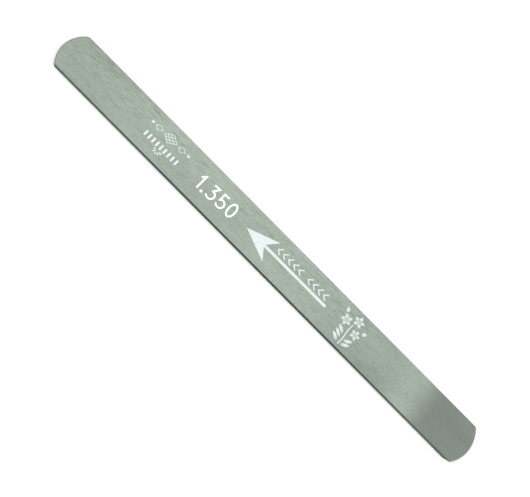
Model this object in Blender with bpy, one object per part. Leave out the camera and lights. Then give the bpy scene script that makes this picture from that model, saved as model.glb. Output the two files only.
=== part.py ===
"""Skiving knife: a flat bar of tool steel, ground to one cutting end, with printed marks.

The bar is a single piece with no handle. One end is cut to a plain curve and rests in the
palm. The other end is cut to a wider curve, and a single bevel ground on the underside brings
it to an edge in the plane of the top face. White ink is printed on the top face: an ornament,
the thickness in millimetres, a row of chevrons, an arrow and a sprig of flowers.

+X runs along the bar towards the cutting edge, +Z is the printed face, z = 0 is the underside.
"""

import math

import bmesh
import bpy
from mathutils import Vector
from mathutils.geometry import tessellate_polygon

MM = 0.001

# Bar stock
BAR_LENGTH = 152.4 * MM
BAR_WIDTH = 12.7 * MM
BAR_THICKNESS = 1.346 * MM
LONG_EDGE_CHAMFER = 0.12 * MM

# Plain end, in the palm
PALM_CORNER_SETBACK = 2.7 * MM
PALM_UPPER_CORNER_RADIUS = 1.2 * MM
PALM_LOWER_CORNER_RADIUS = 0.6 * MM

# Cutting end
CUTTING_CORNER_SETBACK = 2.25 * MM
BEVEL_ANGLE = math.radians(35.0)
EDGE_LAND = 0.05 * MM

# Printed ink
INK_THICKNESS = 0.03 * MM
INK_CLEARANCE = 0.02 * MM

# Arrow, pointing at the palm end
ARROW_TIP_X = -7.85 * MM
ARROW_CENTRE_Y = -0.25 * MM
ARROW_HEAD_LENGTH = 9.3 * MM
ARROW_HEAD_WIDTH = 7.5 * MM
ARROW_NOTCH_DEPTH = 2.8 * MM
ARROW_SHAFT_WIDTH = 0.82 * MM
ARROW_SHAFT_LENGTH = 20.3 * MM

# Chevrons above the arrow's shaft, in two groups
CHEVRON_WIDTH = 1.15 * MM
CHEVRON_HEIGHT = 2.1 * MM
CHEVRON_STROKE = 0.36 * MM
CHEVRON_GAP = 0.8 * MM
CHEVRON_GROUPS = (5, 4)
CHEVRON_GROUP_GAP = 2.35 * MM
CHEVRON_HEAD_CLEARANCE = 0.8 * MM
CHEVRON_SHAFT_CLEARANCE = 0.45 * MM

# Thickness numerals, before the arrow's tip; widths and heights are to the middle of the stroke
NUMERAL_ARROW_CLEARANCE = 4.7 * MM
NUMERAL_CENTRE_Y = -0.1 * MM
NUMERAL_HEIGHT = 4.2 * MM
NUMERAL_WIDTH = 2.1 * MM
NUMERAL_STROKE = 0.5 * MM
NUMERAL_TURN = math.radians(2.0)
NUMERAL_GAP = 0.85 * MM
NUMERAL_ONE_FLAG = 0.9 * MM
NUMERAL_POINT_RADIUS = 0.4 * MM

# Ornament before the numerals: a chain of lozenges, a row of bars and a fan of rays
ORNAMENT_NUMERAL_CLEARANCE = 5.6 * MM
LOZENGE_CENTRE_Y = 2.2 * MM
LOZENGE_LENGTH = 5.0 * MM
LOZENGE_WIDTH = 3.3 * MM
LOZENGE_CELLS = 3
LOZENGE_LINE = 0.2 * MM
INNER_LOZENGE_LENGTH = 2.9 * MM
INNER_LOZENGE_WIDTH = 1.9 * MM
OUTER_LOZENGE_LENGTH = 1.3 * MM
OUTER_LOZENGE_WIDTH = 0.9 * MM
LOZENGE_GAP = 0.25 * MM
BAR_MARKS = 9
BAR_MARK_WIDTH = 0.6 * MM
BAR_MARK_HEIGHT = 1.75 * MM
BAR_MARK_GAP = 0.8 * MM
BAR_MARK_LOZENGE_CLEARANCE = 1.25 * MM
RAYS = 5
RAY_HUB_RADIUS = 0.55 * MM
RAY_LENGTH = 1.0 * MM
RAY_WIDTH = 0.4 * MM
RAY_BAR_CLEARANCE = 0.35 * MM

# Flower sprig past the arrow's tail
SPRIG_ARROW_CLEARANCE = 4.9 * MM
SPRIG_EDGE_CLEARANCE = 1.05 * MM
SPRIG_PIECE_CLEARANCE = 0.3 * MM
STEM_WIDTH = 0.3 * MM
STEM_BOW = 0.15 * MM
BLOSSOM_RADIUS = 1.7 * MM
RIGHT_BLOSSOM_RADIUS = 1.55 * MM
TOP_BLOSSOM_OFFSET = 0.75 * MM
BLOSSOM_EYE_RADIUS = 0.42 * MM
BLOSSOM_PETALS = 5
BLOSSOM_PETAL_DEPTH = 0.48
BUD_LENGTH = 1.7 * MM
BUD_WIDTH = 0.95 * MM
LEAF_LENGTH = 2.9 * MM
LEAF_WIDTH = 0.85 * MM
LEAF_TILT = math.radians(32.0)
LEFT_LEAVES = 3
RIGHT_LEAVES = 2

ARC_STEPS = 28
CORNER_STEPS = 6


def clear_scene():
    for obj in list(bpy.data.objects):
        bpy.data.objects.remove(obj, do_unlink=True)


def material(name, colour, roughness, metallic):
    made = bpy.data.materials.new(name)
    made.use_nodes = True
    shader = made.node_tree.nodes["Principled BSDF"]
    shader.inputs["Base Color"].default_value = (*colour, 1.0)
    shader.inputs["Roughness"].default_value = roughness
    shader.inputs["Metallic"].default_value = metallic
    return made


def add_object(name, mesh, surface):
    mesh.materials.append(surface)
    obj = bpy.data.objects.new(name, mesh)
    bpy.context.scene.collection.objects.link(obj)
    return obj


def arc(centre, radius, start, end, steps):
    """Points on an arc from the angle start to the angle end, both included."""
    turn = (end - start) / steps
    return [
        (centre[0] + radius * math.cos(start + turn * i),
         centre[1] + radius * math.sin(start + turn * i))
        for i in range(steps + 1)
    ]


def end_radius(setback):
    """The radius of an end whose corners lie setback behind its furthest point."""
    return ((BAR_WIDTH / 2) ** 2 + setback ** 2) / (2 * setback)


def palm_end(inset):
    """The plain end, from the upper long edge round to the lower one, moved in by inset."""
    half = BAR_WIDTH / 2
    palm_radius = end_radius(PALM_CORNER_SETBACK)
    centre = (-BAR_LENGTH / 2 + palm_radius, 0.0)
    corners = []
    for side, radius in ((1, PALM_UPPER_CORNER_RADIUS), (-1, PALM_LOWER_CORNER_RADIUS)):
        y = side * (half - radius)
        reach = palm_radius - radius
        x = centre[0] - math.sqrt(reach ** 2 - y ** 2)
        meets = math.atan2(y, x - centre[0]) % (2 * math.pi)
        corners.append(((x, y), radius - inset, meets))
    upper, lower = corners
    points = arc(upper[0], upper[1], math.pi / 2, upper[2], CORNER_STEPS)
    points += arc(centre, palm_radius - inset, upper[2], lower[2], ARC_STEPS)[1:-1]
    points += arc(lower[0], lower[1], lower[2], 1.5 * math.pi, CORNER_STEPS)
    return points


def cutting_end(inset, set_back):
    """The curved edge, from the lower long edge up to the upper one, set_back towards the palm."""
    half = BAR_WIDTH / 2 - inset
    radius = end_radius(CUTTING_CORNER_SETBACK)
    centre = (BAR_LENGTH / 2 - radius - set_back, 0.0)
    reach = math.asin(half / radius)
    return arc(centre, radius, -reach, reach, ARC_STEPS)


def bar_section(height):
    """The bar's outline at one height: chamfered long edges, and the bevel at the cutting end."""
    from_face = min(height, BAR_THICKNESS - height)
    inset = max(0.0, LONG_EDGE_CHAMFER - from_face)
    below_edge = max(0.0, BAR_THICKNESS - EDGE_LAND - height)
    set_back = below_edge / math.tan(BEVEL_ANGLE)
    points = palm_end(inset) + cutting_end(inset, set_back)
    return [(x, y, height) for x, y in points]


def steel_bar(surface):
    heights = (0.0, LONG_EDGE_CHAMFER, BAR_THICKNESS - LONG_EDGE_CHAMFER,
               BAR_THICKNESS - EDGE_LAND, BAR_THICKNESS)
    rings = [bar_section(height) for height in heights]
    count = len(rings[0])
    verts = [point for ring in rings for point in ring]
    faces = [tuple(reversed(range(count)))]
    for level in range(len(rings) - 1):
        base = level * count
        for i in range(count):
            j = (i + 1) % count
            faces.append((base + i, base + j, base + count + j, base + count + i))
    faces.append(tuple(range(len(verts) - count, len(verts))))
    mesh = bpy.data.meshes.new("blade")
    mesh.from_pydata(verts, [], faces)
    mesh.validate()
    return add_object("blade", mesh, surface)


def signed_area(loop):
    pairs = zip(loop, loop[1:] + loop[:1])
    return sum(a[0] * b[1] - b[0] * a[1] for a, b in pairs) / 2


def ink(name, surface, outer, holes=()):
    """A thin slab of ink just above the top face, with the outline outer less its holes."""
    loops = [outer if signed_area(outer) > 0 else outer[::-1]]
    loops += [hole if signed_area(hole) < 0 else hole[::-1] for hole in holes]
    low = BAR_THICKNESS + INK_CLEARANCE
    high = low + INK_THICKNESS
    flat = [point for loop in loops for point in loop]
    count = len(flat)
    triangles = tessellate_polygon([[Vector((x, y, 0)) for x, y in loop] for loop in loops])
    verts = [(x, y, low) for x, y in flat] + [(x, y, high) for x, y in flat]
    faces = []
    for a, b, c in triangles:
        if signed_area([flat[a], flat[b], flat[c]]) < 0:
            b, c = c, b
        faces.append((a + count, b + count, c + count))
        faces.append((c, b, a))
    first = 0
    for loop in loops:
        size = len(loop)
        for i in range(size):
            a = first + i
            b = first + (i + 1) % size
            faces.append((a, b, b + count, a + count))
        first += size
    mesh = bpy.data.meshes.new(name)
    mesh.from_pydata(verts, [], faces)
    mesh.validate()
    return add_object(name, mesh, surface)


def moved(points, x=0.0, y=0.0, turn=0.0):
    """Points turned about the origin and then moved."""
    c = math.cos(turn)
    s = math.sin(turn)
    return [(x + px * c - py * s, y + px * s + py * c) for px, py in points]


def beside(points, distance, closed):
    """The path offset to its left by distance, mitred at each point."""
    last = len(points) - 1
    made = []
    for i, point in enumerate(points):
        before = points[i - 1] if i > 0 or closed else None
        after = points[(i + 1) % len(points)] if i < last or closed else None
        normals = []
        for a, b in ((before, point), (point, after)):
            if a is not None and b is not None:
                way = Vector((b[0] - a[0], b[1] - a[1])).normalized()
                normals.append(Vector((-way.y, way.x)))
        normal = sum(normals, Vector((0, 0))).normalized()
        reach = distance / max(0.3, normal.dot(normals[0]))
        made.append((point[0] + normal.x * reach, point[1] + normal.y * reach))
    return made


def stroke(points, width):
    """The outline of a pen stroke along an open path."""
    left = beside(points, width / 2, False)
    right = beside(points, -width / 2, False)
    return left + right[::-1]


def ring(centre, radius, steps):
    return arc(centre, radius, 0.0, 2 * math.pi * (1 - 1 / steps), steps - 1)


def leaf(length, width, steps=8):
    """A pointed leaf from the origin along +X."""
    over = [(length * i / steps, width / 2 * math.sin(math.pi * i / steps) ** 0.8)
            for i in range(steps + 1)]
    under = [(x, -y) for x, y in over[1:-1]]
    return over + under[::-1]


def arrow(surface):
    head = ARROW_HEAD_LENGTH
    half = ARROW_HEAD_WIDTH / 2
    shaft = ARROW_SHAFT_WIDTH / 2
    notch = head - ARROW_NOTCH_DEPTH
    meets = notch + shaft * ARROW_NOTCH_DEPTH / half
    upper = [(0.0, 0.0), (head, half), (meets, shaft), (head + ARROW_SHAFT_LENGTH, shaft)]
    outline = upper + [(x, -y) for x, y in upper[:0:-1]]
    return ink("ink_arrow", surface, moved(outline, ARROW_TIP_X, ARROW_CENTRE_Y))


def chevrons(surface):
    """V marks in two groups, each V pointing the way the arrow does."""
    base = ARROW_CENTRE_Y + ARROW_SHAFT_WIDTH / 2 + CHEVRON_SHAFT_CLEARANCE
    middle = base + CHEVRON_STROKE / 2 + CHEVRON_HEIGHT / 2
    x = ARROW_TIP_X + ARROW_HEAD_LENGTH + CHEVRON_HEAD_CLEARANCE
    path = [(CHEVRON_WIDTH, CHEVRON_HEIGHT / 2), (0, 0), (CHEVRON_WIDTH, -CHEVRON_HEIGHT / 2)]
    number = 0
    for count in CHEVRON_GROUPS:
        for _ in range(count):
            number += 1
            outline = moved(stroke(path, CHEVRON_STROKE), x, middle)
            ink(f"ink_chevron_{number}", surface, outline)
            x += CHEVRON_WIDTH + CHEVRON_GAP
        x += CHEVRON_GROUP_GAP - CHEVRON_GAP


def numeral_one():
    w, h = NUMERAL_WIDTH, NUMERAL_HEIGHT
    path = [(w / 2 - NUMERAL_ONE_FLAG, h * 0.76), (w / 2, h), (w / 2, 0)]
    return stroke(path, NUMERAL_STROKE), ()


def numeral_three():
    """A three with a flat top, drawn in one stroke."""
    w, h = NUMERAL_WIDTH, NUMERAL_HEIGHT
    bowl = arc((w * 0.46, h * 0.3), h * 0.29, math.radians(60), math.radians(-150), 14)
    return stroke([(w * 0.06, h), (w * 0.94, h), (w * 0.42, h * 0.575)] + bowl, NUMERAL_STROKE), ()


def numeral_five():
    w, h = NUMERAL_WIDTH, NUMERAL_HEIGHT
    bowl = arc((w * 0.46, h * 0.3), h * 0.29, math.radians(105), math.radians(-150), 16)
    path = [(w * 0.92, h), (w * 0.16, h), (w * 0.12, h * 0.5)] + bowl
    return stroke(path, NUMERAL_STROKE), ()


def numeral_zero():
    w, h = NUMERAL_WIDTH, NUMERAL_HEIGHT
    middle = [(w / 2 + w / 2 * math.cos(a), h / 2 + h / 2 * math.sin(a))
              for a in (2 * math.pi * i / 28 for i in range(28))]
    half = NUMERAL_STROKE / 2
    return beside(middle, -half, True), (beside(middle, half, True),)


def numeral_point():
    return ring((0, NUMERAL_POINT_RADIUS - NUMERAL_STROKE / 2), NUMERAL_POINT_RADIUS, 12), ()


def numeral_row():
    """Each glyph's name, outline and holes, the width it takes and its own shift within that."""
    wide = NUMERAL_WIDTH + NUMERAL_STROKE
    one = NUMERAL_ONE_FLAG + NUMERAL_STROKE
    narrow = 2 * NUMERAL_POINT_RADIUS
    edge = NUMERAL_STROKE / 2
    return (
        ("one", numeral_one(), one, edge - NUMERAL_WIDTH / 2 + NUMERAL_ONE_FLAG),
        ("point", numeral_point(), narrow, narrow / 2),
        ("three", numeral_three(), wide, edge),
        ("five", numeral_five(), wide, edge),
        ("zero", numeral_zero(), wide, edge),
    )


def numerals_length():
    row = numeral_row()
    return sum(width for _, _, width, _ in row) + NUMERAL_GAP * (len(row) - 1)


def numerals_start_x():
    return ARROW_TIP_X - NUMERAL_ARROW_CLEARANCE - numerals_length()


def numerals(surface):
    """The thickness, 1.350, as five printed glyphs, turned a little about the middle of the row."""
    half = numerals_length() / 2
    middle = numerals_start_x() + half
    x = -half
    base = -NUMERAL_HEIGHT / 2
    for name, (outer, holes), width, shift in numeral_row():
        loops = [moved(loop, x + shift, base) for loop in (outer, *holes)]
        turned = [moved(loop, middle, NUMERAL_CENTRE_Y, NUMERAL_TURN) for loop in loops]
        ink(f"ink_numeral_{name}", surface, turned[0], turned[1:])
        x += width + NUMERAL_GAP


def lozenge(length, width, cells=0, line=0.0):
    """A lozenge's outline, and its lattice of holes if it has cells."""
    def at(u, v):
        return ((u - v) * length / 2, (u + v - 1) * width / 2)

    side = math.hypot(length, width) / 2
    rim = line * side / (length * width / (4 * side)) / side / 2
    outer = [at(0, 0), at(1, 0), at(1, 1), at(0, 1)]
    holes = []
    step = (1 - rim) / cells if cells else 0
    for i in range(cells):
        for j in range(cells):
            u = rim + i * step
            v = rim + j * step
            far = step - rim
            holes.append([at(u, v), at(u + far, v), at(u + far, v + far), at(u, v + far)])
    return outer, holes


def ornament_lozenges(surface, centre_x):
    """A latticed lozenge with a pair of hollow ones and a pair of small solid ones beside it."""
    outer, holes = lozenge(LOZENGE_LENGTH, LOZENGE_WIDTH, LOZENGE_CELLS, LOZENGE_LINE)
    ink("ink_lozenge_centre", surface, moved(outer, centre_x, LOZENGE_CENTRE_Y),
        [moved(hole, centre_x, LOZENGE_CENTRE_Y) for hole in holes])
    for name, side in (("left", -1), ("right", 1)):
        reach = LOZENGE_LENGTH / 2 + LOZENGE_GAP + INNER_LOZENGE_LENGTH / 2
        x = centre_x + side * reach
        outer, holes = lozenge(INNER_LOZENGE_LENGTH, INNER_LOZENGE_WIDTH, 1, LOZENGE_LINE)
        ink(f"ink_lozenge_inner_{name}", surface, moved(outer, x, LOZENGE_CENTRE_Y),
            [moved(hole, x, LOZENGE_CENTRE_Y) for hole in holes])
        reach += (INNER_LOZENGE_LENGTH + OUTER_LOZENGE_LENGTH) / 2 + LOZENGE_GAP
        outer, holes = lozenge(OUTER_LOZENGE_LENGTH, OUTER_LOZENGE_WIDTH)
        ink(f"ink_lozenge_outer_{name}", surface,
            moved(outer, centre_x + side * reach, LOZENGE_CENTRE_Y))


def ornament(surface):
    half = LOZENGE_LENGTH / 2 + INNER_LOZENGE_LENGTH + OUTER_LOZENGE_LENGTH + 2 * LOZENGE_GAP
    centre_x = numerals_start_x() - ORNAMENT_NUMERAL_CLEARANCE - half
    ornament_lozenges(surface, centre_x)
    top = LOZENGE_CENTRE_Y - LOZENGE_WIDTH / 2 - BAR_MARK_LOZENGE_CLEARANCE
    w = BAR_MARK_WIDTH / 2
    h = BAR_MARK_HEIGHT
    for i in range(BAR_MARKS):
        x = centre_x + (i - (BAR_MARKS - 1) / 2) * (BAR_MARK_WIDTH + BAR_MARK_GAP)
        bar = moved([(-w, -h), (w, -h), (w, 0), (-w, 0)], x, top)
        ink(f"ink_bar_mark_{i + 1}", surface, bar)
    hub_y = top - BAR_MARK_HEIGHT - RAY_BAR_CLEARANCE
    for i in range(RAYS):
        turn = -math.pi * (0.06 + 0.88 * i / (RAYS - 1))
        ray = moved(leaf(RAY_LENGTH, RAY_WIDTH, 6), RAY_HUB_RADIUS)
        ink(f"ink_ray_{i + 1}", surface, moved(ray, centre_x, hub_y, turn))


def blossom(name, surface, centre, size, turn):
    """An open flower with pointed petals and a clear eye."""
    steps = BLOSSOM_PETALS * 8
    points = []
    for i in range(steps):
        angle = 2 * math.pi * i / steps
        swell = 1 - BLOSSOM_PETAL_DEPTH * abs(math.sin(BLOSSOM_PETALS * angle / 2))
        points.append((size * swell * math.cos(angle), size * swell * math.sin(angle)))
    eye = ring(centre, BLOSSOM_EYE_RADIUS, 10)
    return ink(name, surface, moved(points, centre[0], centre[1], turn), [eye])


def sprig_leaves(surface, stem_x, side, count, name, bottom):
    """Parallel leaves up one side of the stem. Returns the height that they reach."""
    root = stem_x + side * (STEM_WIDTH / 2 + STEM_BOW + SPRIG_PIECE_CLEARANCE)
    turn = LEAF_TILT if side > 0 else math.pi - LEAF_TILT
    pitch = (LEAF_WIDTH + SPRIG_PIECE_CLEARANCE) / math.cos(LEAF_TILT)
    for i in range(count):
        outline = moved(leaf(LEAF_LENGTH, LEAF_WIDTH), root, bottom + LEAF_WIDTH / 2 + i * pitch, turn)
        ink(f"ink_leaf_{name}_{i + 1}", surface, outline)
    return bottom + (count - 1) * pitch + LEAF_LENGTH * math.sin(LEAF_TILT) + LEAF_WIDTH


def sprig(surface):
    """A stem with leaves to each side, three blossoms and two buds."""
    away = STEM_WIDTH / 2 + STEM_BOW + SPRIG_PIECE_CLEARANCE
    stem_x = ARROW_TIP_X + ARROW_HEAD_LENGTH + ARROW_SHAFT_LENGTH + SPRIG_ARROW_CLEARANCE
    stem_x += 2 * BLOSSOM_RADIUS + away
    bottom = -BAR_WIDTH / 2 + SPRIG_EDGE_CLEARANCE
    left_top = sprig_leaves(surface, stem_x, -1, LEFT_LEAVES, "left", bottom)
    right_top = sprig_leaves(surface, stem_x, 1, RIGHT_LEAVES, "right", bottom)
    left = (stem_x - away - BLOSSOM_RADIUS, left_top + BLOSSOM_RADIUS)
    right = (stem_x + away + RIGHT_BLOSSOM_RADIUS, right_top + RIGHT_BLOSSOM_RADIUS)
    across = stem_x + TOP_BLOSSOM_OFFSET - left[0]
    apart = 2 * BLOSSOM_RADIUS + SPRIG_PIECE_CLEARANCE
    top = (left[0] + across, left[1] + math.sqrt(apart ** 2 - across ** 2))
    blossom("ink_blossom_left", surface, left, BLOSSOM_RADIUS, 0.9)
    blossom("ink_blossom_right", surface, right, RIGHT_BLOSSOM_RADIUS, 0.1)
    blossom("ink_blossom_top", surface, top, BLOSSOM_RADIUS, 0.3)
    for name, under, size, turn in (("left", left, BLOSSOM_RADIUS, 120),
                                    ("right", right, RIGHT_BLOSSOM_RADIUS, 48)):
        angle = math.radians(turn)
        reach = size + SPRIG_PIECE_CLEARANCE
        root = moved([(reach, 0)], under[0], under[1], angle)[0]
        outline = moved(leaf(BUD_LENGTH, BUD_WIDTH), root[0], root[1], angle)
        ink(f"ink_bud_{name}", surface, outline)
    height = top[1] - BLOSSOM_RADIUS - SPRIG_PIECE_CLEARANCE - bottom
    stem = [(stem_x + STEM_BOW * math.sin(2 * math.pi * i / 12), bottom + height * i / 12)
            for i in range(13)]
    ink("ink_stem", surface, stroke(stem, STEM_WIDTH))


def main():
    clear_scene()
    steel = material("ground_tool_steel", (0.36, 0.40, 0.36), 0.38, 1.0)
    white = material("white_printing_ink", (0.86, 0.92, 0.93), 0.55, 0.0)
    steel_bar(steel)
    ornament(white)
    numerals(white)
    arrow(white)
    chevrons(white)
    sprig(white)


main()
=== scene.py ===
"""Skiving knife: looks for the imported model, laid out as a Blender add-on and run as a script."""

import math

import bmesh
import bpy
from bpy.props import FloatProperty, FloatVectorProperty, IntProperty, PointerProperty
from bpy.types import Node, NodeSocket, Operator, Panel, PropertyGroup
from mathutils import Matrix, Vector
from mathutils.geometry import tessellate_polygon


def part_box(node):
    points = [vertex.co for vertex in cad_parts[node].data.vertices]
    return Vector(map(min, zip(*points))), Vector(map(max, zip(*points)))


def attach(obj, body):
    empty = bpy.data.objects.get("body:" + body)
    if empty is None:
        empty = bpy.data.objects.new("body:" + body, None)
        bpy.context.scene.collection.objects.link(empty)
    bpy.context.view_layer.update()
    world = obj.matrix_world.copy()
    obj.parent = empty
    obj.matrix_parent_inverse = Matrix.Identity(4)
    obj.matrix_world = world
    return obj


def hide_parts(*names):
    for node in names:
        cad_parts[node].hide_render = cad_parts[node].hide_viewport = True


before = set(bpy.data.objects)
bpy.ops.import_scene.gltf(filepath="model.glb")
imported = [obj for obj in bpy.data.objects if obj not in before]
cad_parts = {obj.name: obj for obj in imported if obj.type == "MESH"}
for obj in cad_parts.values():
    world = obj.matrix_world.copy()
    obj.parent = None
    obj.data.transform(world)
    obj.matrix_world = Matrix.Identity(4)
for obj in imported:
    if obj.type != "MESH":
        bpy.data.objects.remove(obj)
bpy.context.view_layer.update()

bl_info = {
    "name": "Skiving Knife",
    "version": (1, 0, 0),
    "blender": (4, 5, 0),
    "location": "3D View > Sidebar > Knife",
    "description": "Builds a flat bar skiving knife with its ground steel and printed marks",
    "category": "Object",
}

MM = 0.001
BAR_LOW, BAR_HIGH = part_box("blade")
RIM_WIDTH = 0.05 * MM    # rim inset into each flat face of the bar
CREASE = math.radians(24)    # steel edges that turn by more than this are drawn crisp
LEAF_NODES = ["left_1", "left_2", "left_3", "right_1", "right_2"]
GLYPHS = ("one", "point", "three", "five", "zero")


# ---------------------------------------------------------------- settings

def length(name, default, description):
    return FloatProperty(name=name, default=default, min=0.0, precision=5,
                         unit="LENGTH", description=description)


def colour(name, hex_value, description):
    return FloatVectorProperty(name=name, default=linear(hex_value), size=3, min=0.0, max=1.0,
                               subtype="COLOR", description=description)


def linear(hex_value):
    """An sRGB hex colour as linear red, green and blue."""
    parts = [int(hex_value[i:i + 2], 16) / 255 for i in (1, 3, 5)]
    return tuple(p / 12.92 if p <= 0.04045 else ((p + 0.055) / 1.055) ** 2.4 for p in parts)


class KnifeBarSettings(PropertyGroup):
    palm_setback: length("Palm Setback", 2.7 * MM, "Palm corners behind the end's furthest point")
    palm_upper: length("Upper Corner", 1.2 * MM, "Radius of the softened palm corner")
    palm_lower: length("Lower Corner", 0.6 * MM, "Radius of the crisp palm corner")
    edge_setback: length("Edge Setback", 2.25 * MM, "Edge corners behind the edge's furthest point")
    bevel_angle: FloatProperty(name="Bevel Angle", default=math.radians(35.0), min=0.1, max=1.5,
                               subtype="ANGLE", description="Angle of the single bevel")
    edge_land: length("Edge Land", 0.05 * MM, "Height left at the cutting edge")
    side_round: length("Side Rounding", 0.10 * MM, "Radius rubbed onto the long edges")


class KnifeSteelSettings(PropertyGroup):
    ground: colour("Ground Steel", "#A2ADA2", "Surface-ground face")
    line: colour("Grinding Lines", "#79837A", "Deeper grinding lines in the face")
    # Darker than the ground face: painted shade for the lapped back's dimmer reflection.
    lapped_and_shade: colour("Lapped Steel", "#818982", "Smoother back behind the cutting edge")
    green_cast: colour("Green Cast", "#FBFFFC", "Tint of the greener patches of the face")
    warm_cast: colour("Warm Cast", "#FFFBFD", "Tint of the warmer patches of the face")
    straw: colour("Straw", "#8E8F7C", "Film of old oil along the cutting arc")
    # Nearly black colour of the long sides and palm wall.
    scale: colour("Mill Scale", "#35393B", "Dark rolled skin on the long sides and palm wall")
    fresh: colour("Fresh Steel", "#C3C8C4", "Newly ground bevel")
    line_width: length("Line Width", 0.24 * MM, "Width of the broader grinding lines")
    line_length: length("Line Length", 3.4 * MM, "Length of the broader grinding lines")


class KnifeInkSettings(PropertyGroup):
    solid: colour("Solid Ink", "#FBFDFD", "Two passes of white ink, for the numerals")
    thin: colour("Thin Ink", "#D6DFE1", "One pass of white ink, for the arrow and the sprig")
    faint: colour("Faint Ink", "#D6E6E7", "A worn pass of white ink, for the ornament")
    film: length("Film", 0.03 * MM, "How far the ink stands above the steel")
    key: length("Key", 0.01 * MM, "How far the ink keys into the ground face")
    rim: length("Rim", 0.012 * MM, "Rounding of the film's rim")


class KnifePrintSettings(PropertyGroup):
    head_notch: length("Head Notch", 2.8 * MM, "Depth of the notch behind the arrow's head")
    head_length: length("Head Length", 9.3 * MM, "Length of the arrow's head")
    shaft_width: length("Shaft Width", 0.82 * MM, "Width of the arrow's shaft")
    chevron_stroke: length("Chevron Stroke", 0.36 * MM, "Line width of a chevron")
    glyph_width: length("Numeral Width", 2.1 * MM, "Width of a numeral between stroke centres")
    glyph_height: length("Numeral Height", 4.2 * MM, "Height of a numeral between stroke centres")
    glyph_flag: length("Numeral Flag", 0.9 * MM, "Reach of the flag on the one")
    glyph_stroke: length("Numeral Stroke", 0.5 * MM, "Line width of the numerals")
    glyph_turn: FloatProperty(name="Numeral Turn", default=math.radians(2.0), subtype="ANGLE",
                              description="How far the row of numerals sits off the bar's line")
    lattice_line: length("Lattice Line", 0.2 * MM, "Line width in the lozenges")
    lattice_cells: IntProperty(name="Lattice Cells", default=3, min=1, max=6,
                               description="Openings along each side of the middle lozenge")
    petals: IntProperty(name="Petals", default=5, min=3, max=9, description="Petals in a blossom")
    leaf_length: length("Leaf Length", 2.9 * MM, "Length of a leaf")
    leaf_width: length("Leaf Width", 0.85 * MM, "Width of a leaf")
    leaf_tilt: FloatProperty(name="Leaf Tilt", default=math.radians(32.0), subtype="ANGLE",
                             description="How far a leaf rises from square to the stem")
    bud_length: length("Bud Length", 1.7 * MM, "Length of a bud")
    bud_width: length("Bud Width", 0.95 * MM, "Width of a bud")
    vein: length("Vein", 0.12 * MM, "Gap left along a leaf or a petal")


class KnifeStageSettings(PropertyGroup):
    floor: colour("Floor", "#FBFBFA", "Pale table top")
    world: FloatProperty(name="Room Light", default=0.93, min=0.0,
                         description="Brightness of the even light all round")
    key: FloatProperty(name="Soft Light", default=5.6, min=0.0, unit="POWER",
                       description="Power of each large soft light, one beyond each end")
    sheen: FloatProperty(name="Overhead Light", default=0.17, min=0.0, unit="POWER",
                         description="Power of the small soft light whose sheen lies on the steel")
    lens: FloatProperty(name="Lens", default=64.52, min=20.0, unit="CAMERA",
                        description="Focal length of the camera")
    distance: length("Distance", 252.3 * MM, "Camera to the middle of the bar")
    near_tilt: FloatProperty(name="Tilt to Near Side", default=math.radians(23.42), subtype="ANGLE",
                             description="Lean of the camera towards the near long edge")
    end_tilt: FloatProperty(name="Tilt to Palm", default=math.radians(1.28), subtype="ANGLE",
                            description="Lean of the camera towards the palm end")
    roll: FloatProperty(name="Roll", default=math.radians(45.24), subtype="ANGLE",
                        description="How far the bar slopes down to the right in the view")


SETTINGS = (
    ("knife_bar", KnifeBarSettings),
    ("knife_steel", KnifeSteelSettings),
    ("knife_ink", KnifeInkSettings),
    ("knife_print", KnifePrintSettings),
    ("knife_stage", KnifeStageSettings),
)


# ---------------------------------------------------------------- nodes and materials

# Kinds of node and settings that the finishes share. A colour mix takes its share as input 0 and
# its two colours as inputs 6 and 7. A range takes a value, from low and high, to low and high.
MATH, RANGE, MIX = "ShaderNodeMath", "ShaderNodeMapRange", "ShaderNodeMix"
ADD, SUBTRACT, MULTIPLY = {"operation": "ADD"}, {"operation": "SUBTRACT"}, {"operation": "MULTIPLY"}
SMOOTH = {"interpolation_type": "SMOOTHSTEP"}
COLOURS = {"data_type": "RGBA"}


def add_node(tree, kind, settings=(), inputs=()):
    """Adds a node, sets its properties, and sets or links its inputs, which are named or in order.

    An input is a value, a socket, or a node, which stands for its first output in use.
    """
    made = tree.nodes.new(kind)
    for name, value in dict(settings).items():
        setattr(made, name, value)
    for name, value in inputs.items() if isinstance(inputs, dict) else enumerate(inputs):
        socket = made.inputs[name]
        if isinstance(value, Node):
            value = next(output for output in value.outputs if output.enabled)
        if isinstance(value, NodeSocket):
            tree.links.new(value, socket)
        else:
            socket.default_value = (*value, 1.0) if socket.type == "RGBA" else value
    return made


def new_material(name):
    """A material with no nodes yet, and its tree."""
    made = bpy.data.materials.new(name)
    made.use_nodes = True
    made.node_tree.nodes.clear()
    return made, made.node_tree


def finish_material(tree, height, strength, depth, inputs):
    """Ends a material in its shader, with bump of a strength and depth from height."""
    bump = add_node(tree, "ShaderNodeBump", {}, {"Strength": strength, "Distance": depth,
                                                 "Height": height})
    shader = add_node(tree, "ShaderNodeBsdfPrincipled", {}, {**inputs, "Normal": bump})
    add_node(tree, "ShaderNodeOutputMaterial", {}, (shader,))


def object_axes(tree):
    """Where a point of the piece lies, as an X, a Y and a Z socket."""
    place = add_node(tree, "ShaderNodeTexCoord").outputs["Object"]
    return add_node(tree, "ShaderNodeSeparateXYZ", {}, (place,)).outputs


def grain(tree, size, detail, rough):
    """An uneven grain on the piece whose marks measure size along each axis."""
    place = add_node(tree, "ShaderNodeTexCoord").outputs["Object"]
    scaled = add_node(tree, "ShaderNodeMapping", {"vector_type": "TEXTURE"},
                      {"Vector": place, "Scale": size})
    return add_node(tree, "ShaderNodeTexNoise", {},
                    {"Vector": scaled, "Scale": 1.0, "Detail": detail, "Roughness": rough})


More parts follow.
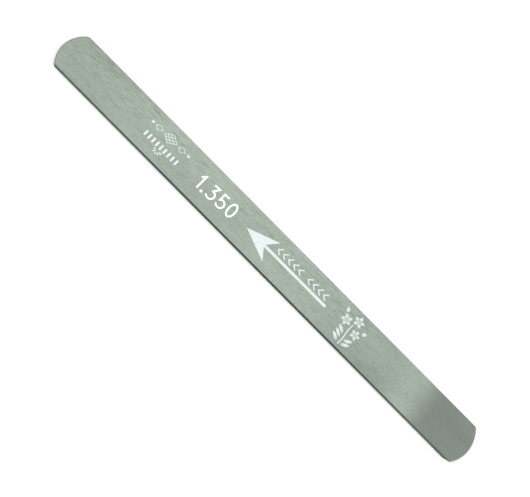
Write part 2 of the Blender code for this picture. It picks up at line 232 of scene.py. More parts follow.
def along_end(tree, x, y, side, setback, depth, strength):
    """Strength along the arc of the cutting end (side 1) or palm end (-1), gone depth inside it."""
    radius = end_radius(setback)
    centre = (BAR_HIGH.x if side > 0 else BAR_LOW.x) - side * radius
    away = add_node(tree, "ShaderNodeCombineXYZ", {}, (add_node(tree, MATH, SUBTRACT, (x, centre)), y))
    reach = add_node(tree, "ShaderNodeVectorMath", {"operation": "LENGTH"}, (away,))
    arc_line = add_node(tree, RANGE, SMOOTH, (reach, radius - depth, radius - 0.1 * MM))
    this_end = add_node(tree, RANGE, SMOOTH, (x, side * 60 * MM, side * 70 * MM, 0.0, strength))
    return add_node(tree, MATH, MULTIPLY, (arc_line, this_end))


def surface_ground_steel(look, bar):
    """Tool steel off a surface grinder: fine lines along the bar, so it is satin, not mirror bright."""
    made, tree = new_material("surface_ground_tool_steel")
    axes = object_axes(tree)
    x, y = axes["X"], axes["Y"]

    # Broad lines a quarter of a millimetre wide are darkest near the far edge of the face, and
    # fade out before the lapped back. Short and fine wheel lines fill the rest.
    broad = grain(tree, (look.line_length, look.line_width, look.line_width), 3.0, 0.65)
    short = grain(tree, (0.7 * MM, 0.26 * MM, 0.26 * MM), 2.0, 0.7)
    fine = grain(tree, (14 * MM, 0.08 * MM, 0.08 * MM), 2.0, 0.6)
    # The tone drifts over 20 mm or so and has a mottle of about 1.5 mm, with a warm or green cast.
    drift = grain(tree, (22 * MM, 9 * MM, 9 * MM), 1.0, 0.5)
    mottle = grain(tree, (2.2 * MM, 1.4 * MM, 1.4 * MM), 2.0, 0.5)

    # The back is lapped for the last 18 mm, where the lines have been worn away; its darker colour is
    # painted shade, for the dimmer reflection of the smoother steel.
    lapped_and_shade = add_node(tree, RANGE, SMOOTH, (x, 53 * MM, 63 * MM))
    unlapped = add_node(tree, MATH, SUBTRACT, (1.0, lapped_and_shade))
    worn = add_node(tree, RANGE, SMOOTH, (x, 30 * MM, 50 * MM, 1.0, 0.25))
    far_side = add_node(tree, RANGE, SMOOTH, (y, -5 * MM, 6 * MM, 0.55, 1.0))
    lines = add_node(tree, RANGE, SMOOTH, (broad, 0.50, 0.74))
    for share in (far_side, worn, unlapped):
        lines = add_node(tree, MATH, MULTIPLY, (lines, share))
    face = add_node(tree, MIX, COLOURS, {0: lines, 6: look.ground, 7: look.line})
    # Painted shade: the lapped back takes a darker colour than the ground face.
    face = add_node(tree, MIX, COLOURS, {0: lapped_and_shade, 6: face, 7: look.lapped_and_shade})
    cast = add_node(tree, RANGE, SMOOTH, (mottle, 0.38, 0.62))
    cast = add_node(tree, MIX, COLOURS, {0: cast, 6: look.green_cast, 7: look.warm_cast})
    face = add_node(tree, MIX, {**COLOURS, "blend_type": "MULTIPLY"}, {0: 1.0, 6: face, 7: cast})

    # Shade multiplies the tone: the short grain, which lapping has mostly removed, then the
    # drift and the mottle.
    left = add_node(tree, RANGE, SMOOTH, (lapped_and_shade, 0.0, 1.0, 1.0, 0.25))
    shade = add_node(tree, RANGE, SMOOTH, (short, 0.3, 0.7, -0.09, 0.09))
    shade = add_node(tree, MATH, MULTIPLY, (shade, left))
    for tones in ((drift, 0.35, 0.65, 0.96, 1.04), (mottle, 0.35, 0.65, 0.02, -0.02)):
        shade = add_node(tree, MATH, ADD, (shade, add_node(tree, RANGE, SMOOTH, tones)))
    # Painted shade: darker towards the palm end and just behind the lapped back, where the reflected sheen
    # falls off, and towards the -Y side, against the lamps' extra light.
    palm_painted_shade = add_node(tree, RANGE, SMOOTH, (x, -36 * MM, -66 * MM, 0.0, 0.10))
    near_side_painted_shade = add_node(tree, RANGE, SMOOTH, (y, 6 * MM, -6 * MM, 0.0, 0.05))
    back_painted_shade = add_node(tree, RANGE, SMOOTH, (x, 12 * MM, 36 * MM))
    for share in ((x, 53 * MM, 44 * MM), (y, -6 * MM, 6 * MM, 0.17, 0.07)):
        back_painted_shade = add_node(tree, MATH, MULTIPLY, (back_painted_shade, add_node(tree, RANGE, SMOOTH, share)))
    # Darkens the face along the palm end's arc, just under half a millimetre deep.
    scaled = along_end(tree, x, y, -1, bar.palm_setback, 0.45 * MM, 0.16)
    for darkening in (palm_painted_shade, back_painted_shade, near_side_painted_shade, scaled):
        shade = add_node(tree, MATH, SUBTRACT, (shade, darkening))
    # Oil left along the cutting arc turns its last 0.6 mm a faint straw colour.
    oiled = along_end(tree, x, y, 1, bar.edge_setback, 0.6 * MM, 1.0)
    face = add_node(tree, MIX, COLOURS, {0: oiled, 6: face, 7: look.straw})
    tone = add_node(tree, "ShaderNodeVectorMath", {"operation": "SCALE"}, {0: face, "Scale": shade})

    rough = add_node(tree, RANGE, SMOOTH, (fine, 0.3, 0.7, -0.05, 0.05))
    rough = add_node(tree, MATH, MULTIPLY, (rough, unlapped))
    smoother = add_node(tree, RANGE, SMOOTH, (lapped_and_shade, 0.0, 1.0, 0.42, 0.32))
    rough = add_node(tree, MATH, ADD, (rough, smoother))
    height = add_node(tree, MATH, ADD, (fine, short))
    flatter = add_node(tree, RANGE, SMOOTH, (lapped_and_shade, 0.0, 1.0, 1.0, 0.1))
    height = add_node(tree, MATH, MULTIPLY, (height, flatter))
    finish_material(tree, height, 0.6, 0.004 * MM,
                    {"Base Color": tone, "Metallic": 1.0, "Roughness": rough})
    return made


def dark_sides(look):
    """The long sides and palm wall: nearly black, dry, slightly mottled."""
    made, tree = new_material("mill_scale_on_tool_steel")
    # Patches of about 1.6 by 0.6 mm; lighter towards the bar's ends.
    flakes = grain(tree, (1.6 * MM, 0.6 * MM, 0.4 * MM), 3.0, 0.6)
    from_middle = add_node(tree, MATH, {"operation": "ABSOLUTE"}, (object_axes(tree)["X"],))
    thin = add_node(tree, RANGE, SMOOTH, (from_middle, 20 * MM, 60 * MM, 0.0, 0.22))
    patchy = add_node(tree, RANGE, SMOOTH, (flakes, 0.35, 0.75, 0.0, 0.15))
    share = add_node(tree, MATH, ADD, (thin, patchy))
    tone = add_node(tree, MIX, COLOURS, {0: share, 6: look.scale, 7: look.line})
    finish_material(tree, flakes, 0.5, 0.01 * MM,
                    {"Base Color": tone, "Metallic": 0.0, "Roughness": 0.8, "Specular IOR Level": 0.3})
    return made


def stone_ground_steel(look):
    """Newly ground steel: bright and clean, with short scratches 0.1 mm wide from the stone."""
    made, tree = new_material("stone_ground_tool_steel")
    lines = grain(tree, (2 * MM, 0.1 * MM, 1 * MM), 2.0, 0.6)
    share = add_node(tree, RANGE, SMOOTH, (lines, 0.4, 0.7, 0.0, 0.5))
    tone = add_node(tree, MIX, COLOURS, {0: share, 6: look.fresh, 7: look.line})
    rough = add_node(tree, RANGE, SMOOTH, (lines, 0.3, 0.7, 0.21, 0.33))
    finish_material(tree, lines, 0.5, 0.004 * MM,
                    {"Base Color": tone, "Metallic": 1.0, "Roughness": rough})
    return made


def screen_ink(name, shade, under, thinness):
    """Screen-printed enamel ink: flat white, a little uneven where the grinding lines show through."""
    made, tree = new_material(name)
    # Grinding lines 0.25 mm wide show through, the film is thin in patches of 0.7 mm, and the
    # mesh leaves specks, drawn at 0.16 mm, which is coarser than real.
    lines = grain(tree, (3 * MM, 0.25 * MM, 0.25 * MM), 2.0, 0.6)
    patches = grain(tree, (0.7 * MM, 0.7 * MM, 0.7 * MM), 1.0, 0.5)
    specks = grain(tree, (0.16 * MM, 0.16 * MM, 0.16 * MM), 1.0, 0.5)
    show = add_node(tree, RANGE, SMOOTH, (lines, 0.40, 0.70, 0.0, thinness))
    for gaps in ((patches, 0.45, 0.70, 0.0, thinness), (specks, 0.55, 0.72, 0.0, thinness)):
        show = add_node(tree, MATH, ADD, (show, add_node(tree, RANGE, SMOOTH, gaps)))
    tone = add_node(tree, MIX, COLOURS, {0: show, 6: shade, 7: under})
    finish_material(tree, specks, 0.3, 0.004 * MM,
                    {"Base Color": tone, "Metallic": 0.0, "Roughness": 0.48, "IOR": 1.5})
    return made


def ink_of(strength):
    """The ink of one strength, mixed the first time that a mark asks for it."""
    name = "screen_ink_" + strength
    ink, steel = bpy.context.scene.knife_ink, bpy.context.scene.knife_steel
    shade, thinness = {"two_passes": (ink.solid, 0.06), "one_pass": (ink.thin, 0.2),
                       "worn": (ink.faint, 0.45)}[strength]
    return bpy.data.materials.get(name) or screen_ink(name, shade, steel.ground, thinness)


# ---------------------------------------------------------------- shapes

def arc(centre, radius, start, end, steps):
    """Points on an arc from the angle start to the angle end, both included."""
    turn = (end - start) / steps
    return [(centre[0] + radius * math.cos(start + turn * i),
             centre[1] + radius * math.sin(start + turn * i)) for i in range(steps + 1)]


def ring(centre, radius, steps=24):
    return arc(centre, radius, 0.0, 2 * math.pi * (1 - 1 / steps), steps - 1)


def moved(points, x=0.0, y=0.0, turn=0.0):
    """Points turned about the origin and then moved."""
    c, s = math.cos(turn), math.sin(turn)
    return [(x + px * c - py * s, y + px * s + py * c) for px, py in points]


def signed_area(loop):
    return sum(a[0] * b[1] - b[0] * a[1] for a, b in zip(loop, loop[1:] + loop[:1])) / 2


def beside(points, distance, closed):
    """The path offset to its left by distance, mitred at each point but never to a long spike."""
    least_turn = 0.3
    last = len(points) - 1
    made = []
    for i, point in enumerate(points):
        before = points[i - 1] if i > 0 or closed else None
        after = points[(i + 1) % len(points)] if i < last or closed else None
        normals = []
        for a, b in ((before, point), (point, after)):
            if a is not None and b is not None:
                way = Vector((b[0] - a[0], b[1] - a[1])).normalized()
                normals.append(Vector((-way.y, way.x)))
        normal = sum(normals, Vector((0, 0))).normalized()
        reach = distance / max(least_turn, normal.dot(normals[0]))
        made.append((point[0] + normal.x * reach, point[1] + normal.y * reach))
    return made


def stroke(points, width):
    """The outline of a pen stroke along an open path."""
    return beside(points, width / 2, False) + beside(points, -width / 2, False)[::-1]


def leaf_side(reach, width, steps):
    """The upper side of a pointed leaf from the origin along +X, fuller than a sine."""
    return [(reach * i / steps, width / 2 * math.sin(math.pi * i / steps) ** 0.8)
            for i in range(steps + 1)]


def blade_shape(reach, width, steps):
    """A pointed leaf from the origin along +X."""
    over = leaf_side(reach, width, steps)
    return over + [(x, -y) for x, y in over[1:-1]][::-1]


def veined_leaf(reach, width, vein, steps=14):
    """A leaf as two halves, with a gap along its middle that narrows towards the tip."""
    loops, least_gap = [], 0.01 * MM
    for side in (1, -1):
        rim = [(x, side * y) for x, y in leaf_side(reach, width, steps)[1:-1]]
        inner = [(reach * i / steps, side * (vein / 2 * (1 - i / steps) + least_gap))
                 for i in range(1, steps)]
        loops.append(rim + inner[::-1])
    return loops


def flat_mesh(name, shapes, low, high):
    """A slab mesh from shapes, each an outline and its holes, between two heights."""
    mesh = bpy.data.meshes.new(name)
    verts, faces = [], []
    for outer, holes in shapes:
        loops = [outer if signed_area(outer) > 0 else outer[::-1]]
        loops += [hole if signed_area(hole) < 0 else hole[::-1] for hole in holes]
        flat = [point for loop in loops for point in loop]
        base, count = len(verts), len(flat)
        verts += [(x, y, low) for x, y in flat] + [(x, y, high) for x, y in flat]
        for a, b, c in tessellate_polygon([[Vector((x, y, 0)) for x, y in loop] for loop in loops]):
            if signed_area([flat[a], flat[b], flat[c]]) < 0:
                b, c = c, b
            faces.append((base + a + count, base + b + count, base + c + count))
            faces.append((base + c, base + b, base + a))
        first = base
        for loop in loops:
            for i in range(len(loop)):
                a, b = first + i, first + (i + 1) % len(loop)
                faces.append((a, b, b + count, a + count))
            first += len(loop)
    mesh.from_pydata(verts, [], faces)
    mesh.validate()
    return mesh


def place(mesh, *materials):
    """An object for the mesh, at the origin, with its materials."""
    for surface in materials:
        mesh.materials.append(surface)
    obj = bpy.data.objects.new(mesh.name, mesh)
    bpy.context.scene.collection.objects.link(obj)
    return obj


def apply_modifiers(obj):
    """Turns what the modifiers make into the object's own mesh."""
    graph = bpy.context.evaluated_depsgraph_get()
    made = bpy.data.meshes.new_from_object(obj.evaluated_get(graph))
    obj.modifiers.clear()
    old, obj.data = obj.data, made
    bpy.data.meshes.remove(old)
    obj.data.name = obj.name
    return obj


def printed(name, shapes, surface, tree=None, **inputs):
    """A piece of ink film on the top face, repeated by a node tree if one is given, with a soft rim."""
    ink = bpy.context.scene.knife_ink
    face = BAR_HIGH.z
    obj = place(flat_mesh(name, shapes, face - ink.key, face + ink.film), surface)
    rim = obj.modifiers.new("soft_rim", "BEVEL")
    rim.width = ink.rim
    rim.segments = 2
    rim.limit_method = "ANGLE"
    rim.angle_limit = math.radians(50)
    if tree is not None:
        repeat = obj.modifiers.new("repeat", "NODES")
        repeat.node_group = tree
        ids = {item.name: item.identifier for item in tree.interface.items_tree
               if item.item_type == "SOCKET" and item.in_out == "INPUT"}
        for label, value in dict(inputs, Ink=surface).items():
            repeat[ids[label.replace("_", " ")]] = value
    return apply_modifiers(obj)


def stands_for(obj, slot, *nodes):
    """Rides the piece on the frame in place of its CAD nodes."""
    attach(obj, "root")
    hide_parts(*nodes)


# ---------------------------------------------------------------- node trees for repeats

def new_tree(name, sockets):
    """A geometry tree with a geometry in and out and the named inputs, and its input node."""
    tree = bpy.data.node_groups.new(name, "GeometryNodeTree")
    tree.interface.new_socket("Geometry", in_out="OUTPUT", socket_type="NodeSocketGeometry")
    tree.interface.new_socket("Shape", in_out="INPUT", socket_type="NodeSocketGeometry")
    for label, kind, default in sockets:
        made = tree.interface.new_socket(label, in_out="INPUT", socket_type=kind)
        if default is not None:
            made.default_value = default
    return tree, add_node(tree, "NodeGroupInput").outputs


def end_tree(tree, instances, ink):
    """Makes the copies real, inks them and sends them out."""
    real = add_node(tree, "GeometryNodeRealizeInstances", {}, (instances,))
    inked = add_node(tree, "GeometryNodeSetMaterial", {}, {0: real, "Material": ink})
    add_node(tree, "NodeGroupOutput", {}, (inked,))
    return tree


def row_tree():
    """Copies the shape along +X, with a wider gap after the first group."""
    tree, given = new_tree("row_of_marks", (
        ("Count", "NodeSocketInt", 1), ("First Group", "NodeSocketInt", 99),
        ("Pitch", "NodeSocketFloat", 0.001), ("Extra Gap", "NodeSocketFloat", 0.0),
        ("Ink", "NodeSocketMaterial", None)))
    index = add_node(tree, "GeometryNodeInputIndex")
    points = add_node(tree, "GeometryNodePoints", {}, {"Count": given["Count"]})
    along = add_node(tree, MATH, MULTIPLY, (index, given["Pitch"]))
    later = add_node(tree, "FunctionNodeCompare", {"data_type": "INT", "operation": "GREATER_EQUAL"},
                     {2: index, 3: given["First Group"]})
    extra = add_node(tree, MATH, MULTIPLY, (later, given["Extra Gap"]))
    x = add_node(tree, MATH, ADD, (along, extra))
    spot = add_node(tree, "ShaderNodeCombineXYZ", {}, (x,))
    row = add_node(tree, "GeometryNodeSetPosition", {}, {0: points, "Position": spot})
    copies = add_node(tree, "GeometryNodeInstanceOnPoints", {}, {0: row, "Instance": given["Shape"]})
    return end_tree(tree, copies, given["Ink"])


def fan_tree():
    """Copies the shape around a centre, from a first angle on by equal steps."""
    tree, given = new_tree("fan_of_marks", (
        ("Count", "NodeSocketInt", 1), ("First Angle", "NodeSocketFloat", 0.0),
        ("Step", "NodeSocketFloat", 0.5), ("Centre", "NodeSocketVector", (0.0, 0.0, 0.0)),
        ("Ink", "NodeSocketMaterial", None)))
    index = add_node(tree, "GeometryNodeInputIndex")
    points = add_node(tree, "GeometryNodePoints", {}, {"Count": given["Count"], "Position": given["Centre"]})
    steps = add_node(tree, MATH, {"operation": "MULTIPLY_ADD"},
                     (index, given["Step"], given["First Angle"]))
    turn = add_node(tree, "ShaderNodeCombineXYZ", {}, {"Z": steps})
    copies = add_node(tree, "GeometryNodeInstanceOnPoints", {},
                      {0: points, "Instance": given["Shape"], "Rotation": turn})
    return end_tree(tree, copies, given["Ink"])


# ---------------------------------------------------------------- the steel bar

def end_radius(setback):
    """The radius of an end whose corners lie setback behind its furthest point."""
    return (BAR_HIGH.y ** 2 + setback ** 2) / (2 * setback)


def palm_end(bar, inset):
    """The plain end, from the upper long edge round to the lower one, moved in by inset."""
    radius = end_radius(bar.palm_setback)
    centre = (BAR_LOW.x + radius, 0.0)
    corners = []
    for side, corner in ((1, bar.palm_upper), (-1, bar.palm_lower)):
        y = side * (BAR_HIGH.y - corner)
        x = centre[0] - math.sqrt((radius - corner) ** 2 - y ** 2)
        meets = math.atan2(y, x - centre[0]) % (2 * math.pi)
        corners.append(((x, y), corner - inset, meets))
    upper, lower = corners
    points = arc(upper[0], upper[1], math.pi / 2, upper[2], 12)
    points += arc(centre, radius - inset, upper[2], lower[2], 56)[1:-1]
    return points + arc(lower[0], lower[1], lower[2], 1.5 * math.pi, 8)


def cutting_end(bar, inset, set_back):
    """The curved edge, from the lower long edge to the upper one, set_back towards the palm."""
    radius = end_radius(bar.edge_setback)
    reach = math.asin((BAR_HIGH.y - inset) / radius)
    return arc((BAR_HIGH.x - radius - set_back, 0.0), radius, -reach, reach, 60)


def bar_levels(bar):
    """Heights up the bar's side, each with how far the long edges are in at that height."""
    thick, rub, steps = BAR_HIGH.z, bar.side_round, 5
    low = [(rub * (1 - math.cos(a)), rub * (1 - math.sin(a)))
           for a in (math.pi / 2 * i / steps for i in range(steps + 1))]
    high = [(thick - z, inset) for z, inset in low[::-1]]
    level = thick - bar.edge_land
    land_in = bar.side_round - math.sqrt(rub ** 2 - (rub - bar.edge_land) ** 2)
    return sorted(low + high + [(level, land_in)])


def steel_bar(bar):
    """The bar's mesh, lofted through its levels. Faces are marked by how their steel is finished."""
    rings = []
    for z, inset in bar_levels(bar):
        set_back = max(0.0, BAR_HIGH.z - bar.edge_land - z) / math.tan(bar.bevel_angle)
        rings.append([(x, y, z) for x, y in palm_end(bar, inset) + cutting_end(bar, inset, set_back)])
    count = len(rings[0])
    palm_count = len(palm_end(bar, 0.0))
    scaled, bevelled = 1, 2
    made = bmesh.new()
    loops = [[made.verts.new(point) for point in points] for points in rings]
    for under, over in zip(loops, loops[1:]):
        for i in range(count):
            j = (i + 1) % count
            face = made.faces.new((under[i], under[j], over[j], over[i]))
            face.smooth = True
            face.material_index = bevelled if palm_count <= i < count - 1 else scaled
    flats = [made.faces.new(loops[0][::-1]), made.faces.new(loops[-1])]
    # A narrow rim keeps the shading of the rounded edges off each flat face. The inset needs
    # the faces' normals, without which it has no width.
    made.normal_update()
    for flat in flats:
        rim = bmesh.ops.inset_region(made, faces=[flat], thickness=RIM_WIDTH, use_even_offset=True)
        for strip in rim["faces"]:
            strip.smooth = True
    bmesh.ops.triangulate(made, faces=[f for f in made.faces if len(f.verts) > 4])
    mesh = bpy.data.meshes.new("steel_bar")
    made.to_mesh(mesh)
    made.free()
    mesh.set_sharp_from_angle(angle=CREASE)
    return mesh


class KNIFE_OT_steel_bar(Operator):
    """Build the ground steel bar with its bevelled cutting end"""

    bl_idname = "knife.steel_bar"
    bl_label = "Steel Bar"

    def execute(self, context):
        look = context.scene.knife_steel
        mesh = steel_bar(context.scene.knife_bar)
        ground = surface_ground_steel(look, context.scene.knife_bar)
        obj = place(mesh, ground, dark_sides(look), stone_ground_steel(look))
        stands_for(obj, "steel", "blade")
        return {"FINISHED"}


# ---------------------------------------------------------------- the printed marks

def node_box(node):
    """The lowest corner of a CAD node and its size, in plan."""
    low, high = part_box(node)
    return low, high - low


def arrow_outline(marks):
    low, size = node_box("ink_arrow")
    half, shaft = size.y / 2, marks.shaft_width / 2
    notch = marks.head_length - marks.head_notch
    meets = notch + shaft * marks.head_notch / half
    upper = [(0.0, 0.0), (marks.head_length, half), (meets, shaft), (size.x, shaft)]
    return moved(upper + [(x, -y) for x, y in upper[:0:-1]], low.x, low.y + half)


def onto(node, loops):
    """The loops moved so that the box around them is centred on the CAD node's box."""
    low, size = node_box(node)
    xs = [x for loop in loops for x, _ in loop]
    ys = [y for loop in loops for _, y in loop]
    across = low.x + size.x / 2 - (min(xs) + max(xs)) / 2
    up = low.y + size.y / 2 - (min(ys) + max(ys)) / 2
    return [moved(loop, across, up) for loop in loops]


class KNIFE_OT_arrow(Operator):
    """Print the long arrow that points to the palm end"""

    bl_idname = "knife.arrow"
    bl_label = "Arrow"

    def execute(self, context):
        obj = printed("printed_arrow", [(arrow_outline(context.scene.knife_print), ())], ink_of("one_pass"))
        stands_for(obj, "ink", "ink_arrow")
        return {"FINISHED"}


class KNIFE_OT_chevrons(Operator):
    """Print the two groups of chevrons above the arrow's shaft"""

    bl_idname = "knife.chevrons"
    bl_label = "Chevrons"

    def execute(self, context):
        line = context.scene.knife_print.chevron_stroke
        nodes = [f"ink_chevron_{i + 1}" for i in range(9)]
        starts = [node_box(node)[0].x for node in nodes]
        pitch = starts[1] - starts[0]
        gaps = [b - a for a, b in zip(starts, starts[1:])]
        first = max(range(8), key=lambda i: gaps[i]) + 1
        low, size = node_box(nodes[0])
        # The pen's mitre adds to the tip, and its square ends to the arms.
        reach, rise = 1.15 * MM, size.y / 2 - line * 0.37
        outline = stroke([(reach, rise), (0.0, 0.0), (reach, -rise)], line)
        shape = moved(outline, low.x - min(x for x, _ in outline), low.y + size.y / 2)
        obj = printed("printed_chevrons", [(shape, ())], ink_of("one_pass"), row_tree(), Count=len(nodes),
                      First_Group=first, Pitch=pitch, Extra_Gap=gaps[first - 1] - pitch)
        stands_for(obj, "ink", *nodes)
        return {"FINISHED"}


def numeral(glyph, marks):
    """A glyph's outline and holes, upright from the origin."""
    w, h, line = marks.glyph_width, marks.glyph_height, marks.glyph_stroke
    bowl = (w * 0.46, h * 0.3)
    if glyph == "point":
        return [ring((0.0, 0.0), 0.8 * line)]
    if glyph == "zero":
        path = [(w / 2 * math.cos(a), h / 2 * math.sin(a))
                for a in (2 * math.pi * i / 48 for i in range(48))]
        return [beside(path, -line / 2, True), beside(path, line / 2, True)]
    path = {
        "one": [(w / 2 - marks.glyph_flag, h * 0.76), (w / 2, h), (w / 2, 0)],
        "three": [(w * 0.06, h), (w * 0.94, h), (w * 0.42, h * 0.575)]
        + arc(bowl, h * 0.29, math.radians(60), math.radians(-150), 24),
        "five": [(w * 0.92, h), (w * 0.16, h), (w * 0.12, h * 0.5)]
        + arc(bowl, h * 0.29, math.radians(105), math.radians(-150), 28),
    }
    return [stroke(path[glyph], line)]


class KNIFE_OT_numerals(Operator):
    """Print the bar's thickness in millimetres"""

    bl_idname = "knife.numerals"
    bl_label = "Numerals"

    def execute(self, context):
        marks = context.scene.knife_print
        for glyph in GLYPHS:
            node = "ink_numeral_" + glyph
            turned = [moved(loop, turn=marks.glyph_turn) for loop in numeral(glyph, marks)]
            loops = onto(node, turned)
            obj = printed("printed_" + glyph, [(loops[0], loops[1:])], ink_of("two_passes"))
            stands_for(obj, "ink", node)
        return {"FINISHED"}


def lozenge(centre, reach, width, cells, line):
    """A lozenge's outline, and its lattice of openings if it has cells."""
    def at(u, v):
        return (centre[0] + (u - v) * reach / 2, centre[1] + (u + v - 1) * width / 2)

    rim = line * math.hypot(reach, width) / (reach * width)
    step = (1 - rim) / cells if cells else 0.0
    far = step - rim
    holes = []
    for i in range(cells):
        for j in range(cells):
            u, v = rim + i * step, rim + j * step
            holes.append([at(u, v), at(u + far, v), at(u + far, v + far), at(u, v + far)])
    return [at(0, 0), at(1, 0), at(1, 1), at(0, 1)], holes


class KNIFE_OT_ornament(Operator):
    """Print the lozenges, the row of bars and the fan of rays"""

    bl_idname = "knife.ornament"
    bl_label = "Ornament"

    def execute(self, context):
        marks = context.scene.knife_print
        line = marks.lattice_line
        kinds = (("centre", marks.lattice_cells), ("inner_left", 1), ("inner_right", 1),
                 ("outer_left", 0), ("outer_right", 0))
        shapes = []
        for name, cells in kinds:
            low, size = node_box("ink_lozenge_" + name)
            centre = (low.x + size.x / 2, low.y + size.y / 2)
            shapes.append(lozenge(centre, size.x, size.y, cells, line))
        obj = printed("printed_lozenges", shapes, ink_of("worn"))
        stands_for(obj, "ink", *("ink_lozenge_" + name for name, _ in kinds))
        self.bars()
        self.rays()
        return {"FINISHED"}

    def bars(self):
        nodes = [f"ink_bar_mark_{i + 1}" for i in range(9)]
        low, size = node_box(nodes[0])
        pitch = node_box(nodes[1])[0].x - low.x
        # The corners of each bar are rounded by 0.15 mm, as a squeegee leaves them.
        corner = 0.15 * MM
        outline = []
        for x, y, start in ((size.x, 0, -90), (size.x, size.y, 0), (0, size.y, 90), (0, 0, 180)):
            inner = (x + (corner if x == 0 else -corner), y + (corner if y == 0 else -corner))
            outline += arc(inner, corner, math.radians(start), math.radians(start + 90), 4)
        shape = moved(outline, low.x, low.y)
        obj = printed("printed_bars", [(shape, ())], ink_of("one_pass"), row_tree(), Count=len(nodes),
                      Pitch=pitch)
        stands_for(obj, "ink", *nodes)

    def rays(self):
        nodes = [f"ink_ray_{i + 1}" for i in range(5)]
        low, size = node_box("ink_ray_3")
        eye = 0.55 * MM
        hub = (low.x + size.x / 2, low.y + size.y + eye, 0.0)
        ray = moved(blade_shape(size.y, size.x, 10), eye)
        obj = printed("printed_rays", [(ray, ())], ink_of("worn"), fan_tree(), Count=len(nodes),
                      First_Angle=-math.pi * 0.94, Step=math.pi * 0.22, Centre=hub)
        stands_for(obj, "ink", *nodes)


def petal(radius, vein):
    """One pointed petal along +X, with a fold line along its middle."""
    start, half, steps = radius * 0.34, radius * 0.22, 12
    side = [(start + (radius - start) * i / steps, half * (1 - i / steps) * (1 + 2.2 * i / steps))
            for i in range(steps + 1)]
    fold = moved(blade_shape(radius * 0.36, vein, 8), radius * 0.44)
    return side + [(x, -y) for x, y in side[-2::-1]], [fold]


class KNIFE_OT_sprig(Operator):
    """Print the sprig of blossoms, buds and leaves"""

    bl_idname = "knife.sprig"
    bl_label = "Flower Sprig"

    def execute(self, context):
        marks = context.scene.knife_print
        # Each blossom is turned by its own angle, so that no two stand alike.
        for name, turn in (("left", 0.9), ("right", 0.1), ("top", 0.3)):
            self.blossom(marks, name, turn)
        self.leaves(marks)
        self.buds(marks)
        self.stem()
        return {"FINISHED"}

    def blossom(self, marks, name, turn):
        node = "ink_blossom_" + name
        low, size = node_box(node)
        step = 2 * math.pi / marks.petals
        tips = [math.cos(turn + step * i) for i in range(marks.petals)]
        rises = [math.sin(turn + step * i) for i in range(marks.petals)]
        radius = size.x / (max(tips) - min(tips))
        eye = (low.x - radius * min(tips), low.y - radius * min(rises), 0.0)
        obj = printed("printed_blossom_" + name, [petal(radius, marks.vein)], ink_of("one_pass"),
                      fan_tree(), Count=marks.petals, First_Angle=turn, Step=step, Centre=eye)
        stands_for(obj, "ink", node)
        heart = (ring(eye, radius * 0.21, 16), [ring(eye, radius * 0.11, 12)])
        stands_for(printed("printed_heart_" + name, [heart], ink_of("one_pass")), "ink", node)

    def leaves(self, marks):
        shapes = []
        for name in LEAF_NODES:
            turn = marks.leaf_tilt if name.startswith("right") else math.pi - marks.leaf_tilt
            halves = [moved(half, turn=turn)
                      for half in veined_leaf(marks.leaf_length, marks.leaf_width, marks.vein)]
            shapes += [(loop, ()) for loop in onto("ink_leaf_" + name, halves)]
        obj = printed("printed_leaves", shapes, ink_of("one_pass"))
        stands_for(obj, "ink", *("ink_leaf_" + name for name in LEAF_NODES))

    def buds(self, marks):
        shapes = []
        for name, turn in (("left", 120), ("right", 48)):
            halves = [moved(half, turn=math.radians(turn))
                      for half in veined_leaf(marks.bud_length, marks.bud_width, marks.vein, 10)]
            shapes += [(loop, ()) for loop in onto("ink_bud_" + name, halves)]
        obj = printed("printed_buds", shapes, ink_of("one_pass"))
        stands_for(obj, "ink", "ink_bud_left", "ink_bud_right")

    def stem(self):
        _, size = node_box("ink_stem")
        bow, steps = 0.15 * MM, 24
        path = [(bow * math.sin(2 * math.pi * i / steps), size.y * i / steps)
                for i in range(steps + 1)]
        loops = onto("ink_stem", [stroke(path, size.x - 2 * bow)])
        stands_for(printed("printed_stem", [(loops[0], ())], ink_of("one_pass")), "ink", "ink_stem")


# ---------------------------------------------------------------- stage

def soft_light(name, spot, size, power):
    """A square light at spot, facing the middle of the bar."""
    data = bpy.data.lights.new(name, "AREA")
    data.size = size
    data.energy = power
    lamp = bpy.data.objects.new(name, data)
    lamp.location = spot
    lamp.rotation_euler = (-Vector(spot)).to_track_quat("-Z", "Y").to_euler()
    bpy.context.scene.collection.objects.link(lamp)


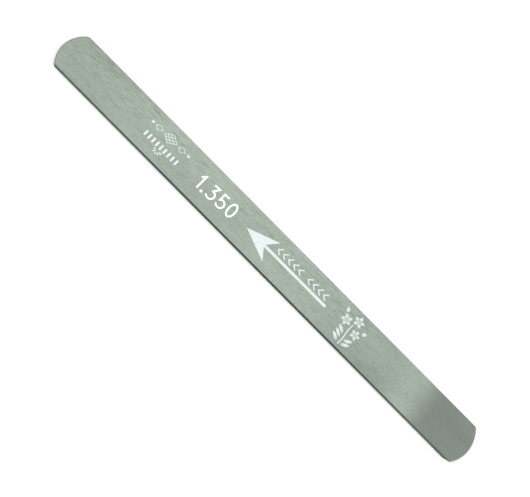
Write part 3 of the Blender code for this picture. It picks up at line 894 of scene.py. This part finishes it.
class KNIFE_OT_stage(Operator):
    """Set out the floor, the soft light and the camera"""

    bl_idname = "knife.stage"
    bl_label = "Stage"

    def execute(self, context):
        stage = context.scene.knife_stage
        self.floor(stage)
        self.lights(stage)
        self.camera(context.scene, stage)
        context.scene.view_settings.view_transform = "Standard"
        return {"FINISHED"}

    def floor(self, stage):
        made, tree = new_material("painted_table_top")
        # Eggshell paint has a faint orange peel of about 2 mm.
        peel = grain(tree, (2 * MM, 2 * MM, 2 * MM), 2.0, 0.5)
        finish_material(tree, peel, 0.1, 0.02 * MM,
                        {"Base Color": stage.floor, "Roughness": 0.7, "Specular IOR Level": 0.2})
        mesh = bpy.data.meshes.new("table_top")
        reach, drop = 3.0, 0.02 * MM
        mesh.from_pydata([(-reach, -reach, 0), (reach, -reach, 0), (reach, reach, 0),
                          (-reach, reach, 0)], [], [(0, 1, 2, 3)])
        table = place(mesh, made)
        table.location.z = BAR_LOW.z - drop

    def lights(self, stage):
        world = bpy.data.worlds.new("even_room")
        world.use_nodes = True
        light = world.node_tree.nodes["Background"].inputs
        light["Color"].default_value = (1.0, 1.0, 1.0, 1.0)
        light["Strength"].default_value = stage.world
        bpy.context.scene.world = world
        for name, side in (("palm_end_softbox", -1), ("cutting_end_softbox", 1)):
            soft_light(name, (side * 1.0, 0.05, 0.95), 0.8, stage.key)
        # This one is seen in the steel, brightest a little towards the palm end.
        soft_light("overhead_softbox", (-0.03, 0.34, 0.78), 0.3, stage.sheen)

    def camera(self, scene, stage):
        lean = Vector((-math.sin(stage.end_tilt), -math.sin(stage.near_tilt), 0.0))
        away = Vector((lean.x, lean.y, math.sqrt(1 - lean.length_squared)))
        along = Vector((1, 0, 0)) - away * away.x
        along.normalize()
        across = away.cross(along)
        c, s = math.cos(stage.roll), math.sin(stage.roll)
        right = along * c + across * s
        up = along * -s + across * c
        data = bpy.data.cameras.new("camera")
        data.lens = stage.lens
        data.sensor_width = 36.0
        data.clip_start = 0.01
        centre = Vector(((BAR_LOW.x + BAR_HIGH.x) / 2, (BAR_LOW.y + BAR_HIGH.y) / 2, BAR_HIGH.z))
        # The middle of the bar sits this far to the right of the view's middle, and above it.
        off_right, off_up = 0.85 * MM, 0.14 * MM
        spot = centre + away * stage.distance - right * off_right - up * off_up
        turn = Matrix((right, up, away)).transposed().to_4x4()
        camera = bpy.data.objects.new("camera", data)
        camera.matrix_world = Matrix.Translation(spot) @ turn
        scene.collection.objects.link(camera)
        scene.camera = camera


# ---------------------------------------------------------------- panel and registration

OPERATORS = (KNIFE_OT_steel_bar, KNIFE_OT_arrow, KNIFE_OT_chevrons,
             KNIFE_OT_numerals, KNIFE_OT_ornament, KNIFE_OT_sprig, KNIFE_OT_stage)


class KNIFE_PT_sidebar(Panel):
    """Lists the knife's pieces and settings"""

    bl_idname = "KNIFE_PT_sidebar"
    bl_label = "Skiving Knife"
    bl_space_type = "VIEW_3D"
    bl_region_type = "UI"
    bl_category = "Knife"

    def draw(self, context):
        for operator in OPERATORS:
            self.layout.operator(operator.bl_idname)
        for name, kind in SETTINGS:
            box = self.layout.box()
            for label in kind.__annotations__:
                box.prop(getattr(context.scene, name), label)


CLASSES = tuple(kind for _, kind in SETTINGS) + OPERATORS + (KNIFE_PT_sidebar,)


def register():
    for kind in CLASSES:
        bpy.utils.register_class(kind)
    for name, kind in SETTINGS:
        setattr(bpy.types.Scene, name, PointerProperty(type=kind))


def unregister():
    for name, _ in SETTINGS:
        delattr(bpy.types.Scene, name)
    for kind in reversed(CLASSES):
        bpy.utils.unregister_class(kind)


def main():
    register()
    for operator in OPERATORS:
        group, name = operator.bl_idname.split(".")
        result = getattr(getattr(bpy.ops, group), name)()
        if result != {"FINISHED"}:
            raise RuntimeError(f"{operator.bl_label} didn't finish")


if __name__ == "__main__":
    main()
